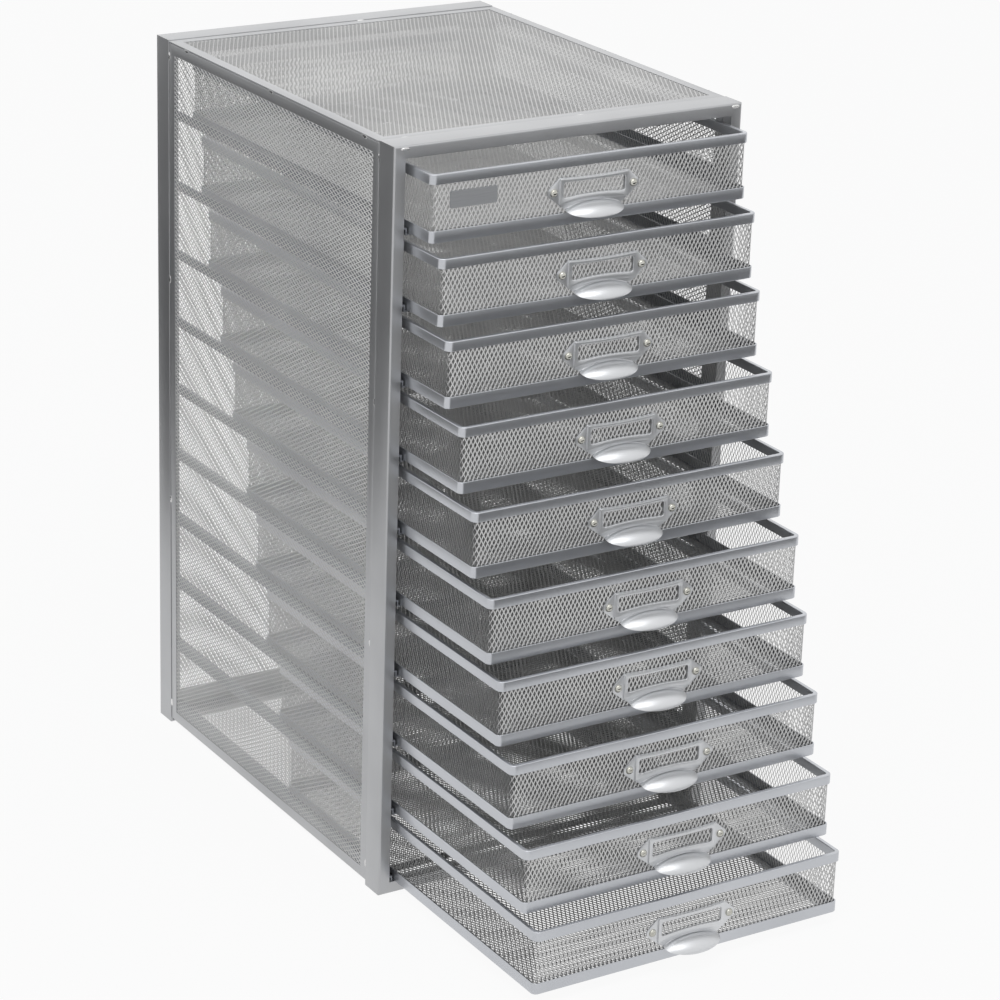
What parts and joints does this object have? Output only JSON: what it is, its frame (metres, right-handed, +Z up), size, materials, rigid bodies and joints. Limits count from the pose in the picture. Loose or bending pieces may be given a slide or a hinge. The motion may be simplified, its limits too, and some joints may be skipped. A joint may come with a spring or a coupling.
{
  "type": "drawer cabinet",
  "caption": "Desktop cabinet of shallow silver mesh drawers in a welded angle frame, each drawer with a folded rim, a card frame and a finger cup, sliding on stepped runners.",
  "frame": {"origin": "middle of the underside of the front bottom rail, on the surface that the cabinet stands on", "axes": "+X to the right across the front, +Y into the depth, from the drawers' fronts to the back, +Z up"},
  "size_m": [0.28, 0.5537, 0.552],
  "materials": {
    "frame_paint": "satin",
    "panel_paint": "satin",
    "mesh_paint": "satin",
    "rim_paint": "satin",
    "runner_paint": "satin",
    "pull_steel": "satin",
    "rivet_steel": "polished",
    "plate_steel": "brushed"
  },
  "bodies": {
    "case": {"front_frame": "frame_paint", "rear_frame": "frame_paint", "side_panel_left": "panel_paint", "side_panel_right": "panel_paint", "top_panel": "panel_paint", "bottom_panel": "panel_paint", "back_panel": "panel_paint", "runners_left": "runner_paint", "runners_right": "runner_paint"},
    "drawer_01": {"drawer_01_basket": "mesh_paint", "drawer_01_top_rim": "rim_paint", "drawer_01_base_rim": "rim_paint", "drawer_01_pull": "pull_steel", "drawer_01_rivets": "rivet_steel", "drawer_01_name_plate": "plate_steel"},
    "drawer_02": {"drawer_02_basket": "mesh_paint", "drawer_02_top_rim": "rim_paint", "drawer_02_base_rim": "rim_paint", "drawer_02_pull": "pull_steel", "drawer_02_rivets": "rivet_steel"},
    "drawer_03": {"drawer_03_basket": "mesh_paint", "drawer_03_top_rim": "rim_paint", "drawer_03_base_rim": "rim_paint", "drawer_03_pull": "pull_steel", "drawer_03_rivets": "rivet_steel"},
    "drawer_04": {"drawer_04_basket": "mesh_paint", "drawer_04_top_rim": "rim_paint", "drawer_04_base_rim": "rim_paint", "drawer_04_pull": "pull_steel", "drawer_04_rivets": "rivet_steel"},
    "drawer_05": {"drawer_05_basket": "mesh_paint", "drawer_05_top_rim": "rim_paint", "drawer_05_base_rim": "rim_paint", "drawer_05_pull": "pull_steel", "drawer_05_rivets": "rivet_steel"},
    "drawer_06": {"drawer_06_basket": "mesh_paint", "drawer_06_top_rim": "rim_paint", "drawer_06_base_rim": "rim_paint", "drawer_06_pull": "pull_steel", "drawer_06_rivets": "rivet_steel"},
    "drawer_07": {"drawer_07_basket": "mesh_paint", "drawer_07_top_rim": "rim_paint", "drawer_07_base_rim": "rim_paint", "drawer_07_pull": "pull_steel", "drawer_07_rivets": "rivet_steel"},
    "drawer_08": {"drawer_08_basket": "mesh_paint", "drawer_08_top_rim": "rim_paint", "drawer_08_base_rim": "rim_paint", "drawer_08_pull": "pull_steel", "drawer_08_rivets": "rivet_steel"},
    "drawer_09": {"drawer_09_basket": "mesh_paint", "drawer_09_top_rim": "rim_paint", "drawer_09_base_rim": "rim_paint", "drawer_09_pull": "pull_steel", "drawer_09_rivets": "rivet_steel"},
    "drawer_10": {"drawer_10_basket": "mesh_paint", "drawer_10_top_rim": "rim_paint", "drawer_10_base_rim": "rim_paint", "drawer_10_pull": "pull_steel", "drawer_10_rivets": "rivet_steel"}
  },
  "joints": [
    {"name": "drawer_01_slide", "type": "slide", "parent": "case", "child": "drawer_01", "axis": [0, -1, 0], "range_m": [-0.028, 0.252]},
    {"name": "drawer_02_slide", "type": "slide", "parent": "case", "child": "drawer_02", "axis": [0, -1, 0], "range_m": [-0.0423, 0.2377]},
    {"name": "drawer_03_slide", "type": "slide", "parent": "case", "child": "drawer_03", "axis": [0, -1, 0], "range_m": [-0.0538, 0.2262]},
    {"name": "drawer_04_slide", "type": "slide", "parent": "case", "child": "drawer_04", "axis": [0, -1, 0], "range_m": [-0.0738, 0.2062]},
    {"name": "drawer_05_slide", "type": "slide", "parent": "case", "child": "drawer_05", "axis": [0, -1, 0], "range_m": [-0.0933, 0.1867]},
    {"name": "drawer_06_slide", "type": "slide", "parent": "case", "child": "drawer_06", "axis": [0, -1, 0], "range_m": [-0.1163, 0.1637]},
    {"name": "drawer_07_slide", "type": "slide", "parent": "case", "child": "drawer_07", "axis": [0, -1, 0], "range_m": [-0.1319, 0.1481]},
    {"name": "drawer_08_slide", "type": "slide", "parent": "case", "child": "drawer_08", "axis": [0, -1, 0], "range_m": [-0.1501, 0.1299]},
    {"name": "drawer_09_slide", "type": "slide", "parent": "case", "child": "drawer_09", "axis": [0, -1, 0], "range_m": [-0.1712, 0.1088]},
    {"name": "drawer_10_slide", "type": "slide", "parent": "case", "child": "drawer_10", "axis": [0, -1, 0], "range_m": [-0.1872, 0.0928]}
  ]
}
